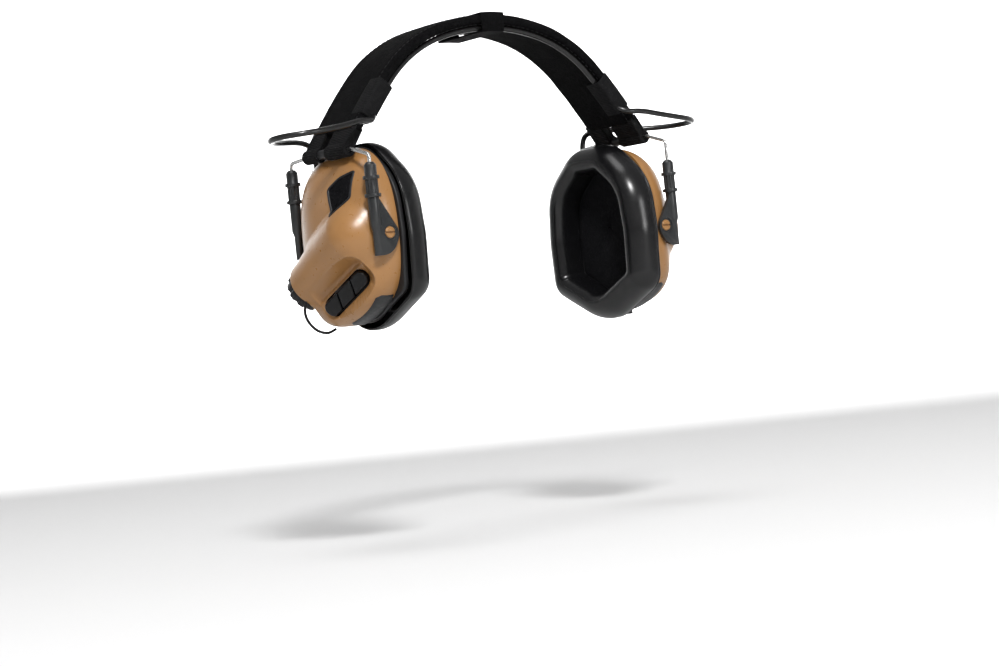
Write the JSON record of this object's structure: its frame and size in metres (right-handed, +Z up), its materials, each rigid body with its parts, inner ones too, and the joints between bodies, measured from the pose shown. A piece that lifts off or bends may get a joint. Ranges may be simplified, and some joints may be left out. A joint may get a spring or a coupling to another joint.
{
  "type": "earmuff hearing protector",
  "caption": "Over-head electronic earmuff with two domed cups on sprung wire forks, a padded fabric headband, push buttons and a screw battery cap.",
  "frame": {"origin": "midway between the ears, level with the right cup's pivot axis", "axes": "+X towards the wearer's left ear, +Y towards the back of the head, +Z up"},
  "size_m": [0.2938, 0.0848, 0.1755],
  "materials": {
    "tan_plastic": "semi-gloss moulded plastic, coyote tan",
    "black_plastic": "fine matt texture",
    "arm_plastic": "satin moulded plastic",
    "leatherette": "soft glossy leatherette",
    "foam": "open-cell foam",
    "velour": "hook-and-loop velour",
    "webbing": "ribbed webbing",
    "cable": "glossy jacket",
    "rubber": "soft-touch rubber",
    "steel": "drawn spring wire",
    "metal_part": "stamped metal",
    "circuit": "solder-mask green",
    "cell": "plain foil sleeve",
    "label": "blank printed film"
  },
  "bodies": {
    "headband": {"band_springs": "steel", "band_cover": "velour", "band_pad": "foam", "band_wrap": "velour", "band_lead": "cable", "right_hinge_sleeve": "black_plastic", "right_end_loop": "webbing", "right_lead": "cable", "left_hinge_sleeve": "black_plastic", "left_end_loop": "webbing", "left_lead": "cable"},
    "right_fork": {"right_fork": "steel"},
    "right_arms": {"right_front_arm": "arm_plastic", "right_rear_arm": "arm_plastic", "right_collets": "arm_plastic"},
    "right_cup": {"right_back_plate": "black_plastic", "right_cushion": "leatherette", "right_liner_foam": "foam", "right_baffle": "black_plastic", "right_speaker": "metal_part", "right_circuit_board": "circuit", "right_mic_bezel": "black_plastic", "right_mic_foam": "foam", "right_mic_capsule": "metal_part", "right_pivot_studs": "tan_plastic", "right_screws": "steel", "right_label_plate": "label", "right_cable_gland": "rubber", "right_shell": "tan_plastic", "right_battery_tube": "black_plastic", "right_battery_cells": "cell", "right_battery_contacts": "steel", "right_cap_tether": "rubber", "right_keypad_base": "rubber"},
    "left_fork": {"left_fork": "steel"},
    "left_arms": {"left_front_arm": "arm_plastic", "left_rear_arm": "arm_plastic", "left_collets": "arm_plastic"},
    "left_cup": {"left_back_plate": "black_plastic", "left_cushion": "leatherette", "left_liner_foam": "foam", "left_baffle": "black_plastic", "left_speaker": "metal_part", "left_circuit_board": "circuit", "left_mic_bezel": "black_plastic", "left_mic_foam": "foam", "left_mic_capsule": "metal_part", "left_pivot_studs": "tan_plastic", "left_screws": "steel", "left_label_plate": "label", "left_cable_gland": "rubber", "left_shell": "tan_plastic", "left_audio_socket": "black_plastic"},
    "battery_cap": {"right_battery_cap": "rubber"},
    "volume_up_button": {"volume_up_button": "rubber"},
    "power_button": {"power_button": "rubber"},
    "volume_down_button": {"volume_down_button": "rubber"}
  },
  "joints": [
    {"name": "right_fold", "type": "hinge", "parent": "headband", "child": "right_fork", "pos_m": [-0.1042, 0, 0.0464], "axis": [0, 1, 0], "range_deg": [-24, 60], "deforming": ["right_lead"]},
    {"name": "right_height", "type": "slide", "parent": "right_fork", "child": "right_arms", "axis": [0, 0, 1], "range_m": [-0.026, 0.0008], "deforming": ["right_lead"]},
    {"name": "right_tilt", "type": "hinge", "parent": "right_arms", "child": "right_cup", "pos_m": [-0.0968, 0, 0], "axis": [0, 1, 0], "range_deg": [-2, 14], "deforming": ["right_lead"]},
    {"name": "left_fold", "type": "hinge", "parent": "headband", "child": "left_fork", "pos_m": [0.1042, 0, 0.0464], "axis": [0, 1, 0], "range_deg": [-60, 24], "deforming": ["left_lead"]},
    {"name": "left_height", "type": "slide", "parent": "left_fork", "child": "left_arms", "axis": [0, 0, 1], "range_m": [-0.019, 0.0078], "deforming": ["left_lead"]},
    {"name": "left_tilt", "type": "hinge", "parent": "left_arms", "child": "left_cup", "pos_m": [0.0968, 0, -0.007], "axis": [0, 1, 0], "range_deg": [-14, 2], "deforming": ["left_lead"]},
    {"name": "volume_up_press", "type": "slide", "parent": "right_cup", "child": "volume_up_button", "axis": [0.8365, 0.3722, 0.4022], "range_m": [0, 0.0008], "stiffness_N_per_m": 900, "springref_m": -0.0006},
    {"name": "power_press", "type": "slide", "parent": "right_cup", "child": "power_button", "axis": [0.8365, 0.3722, 0.4022], "range_m": [0, 0.0008], "stiffness_N_per_m": 900, "springref_m": -0.0006},
    {"name": "volume_down_press", "type": "slide", "parent": "right_cup", "child": "volume_down_button", "axis": [0.8365, 0.3722, 0.4022], "range_m": [0, 0.0008], "stiffness_N_per_m": 900, "springref_m": -0.0006},
    {"name": "battery_cap_turn", "type": "hinge", "parent": "right_cup", "child": "battery_cap", "pos_m": [-0.107, 0.02432, -0.0225], "axis": [0, 0.8827, -0.4699], "range_deg": [0, 90]}
  ]
}
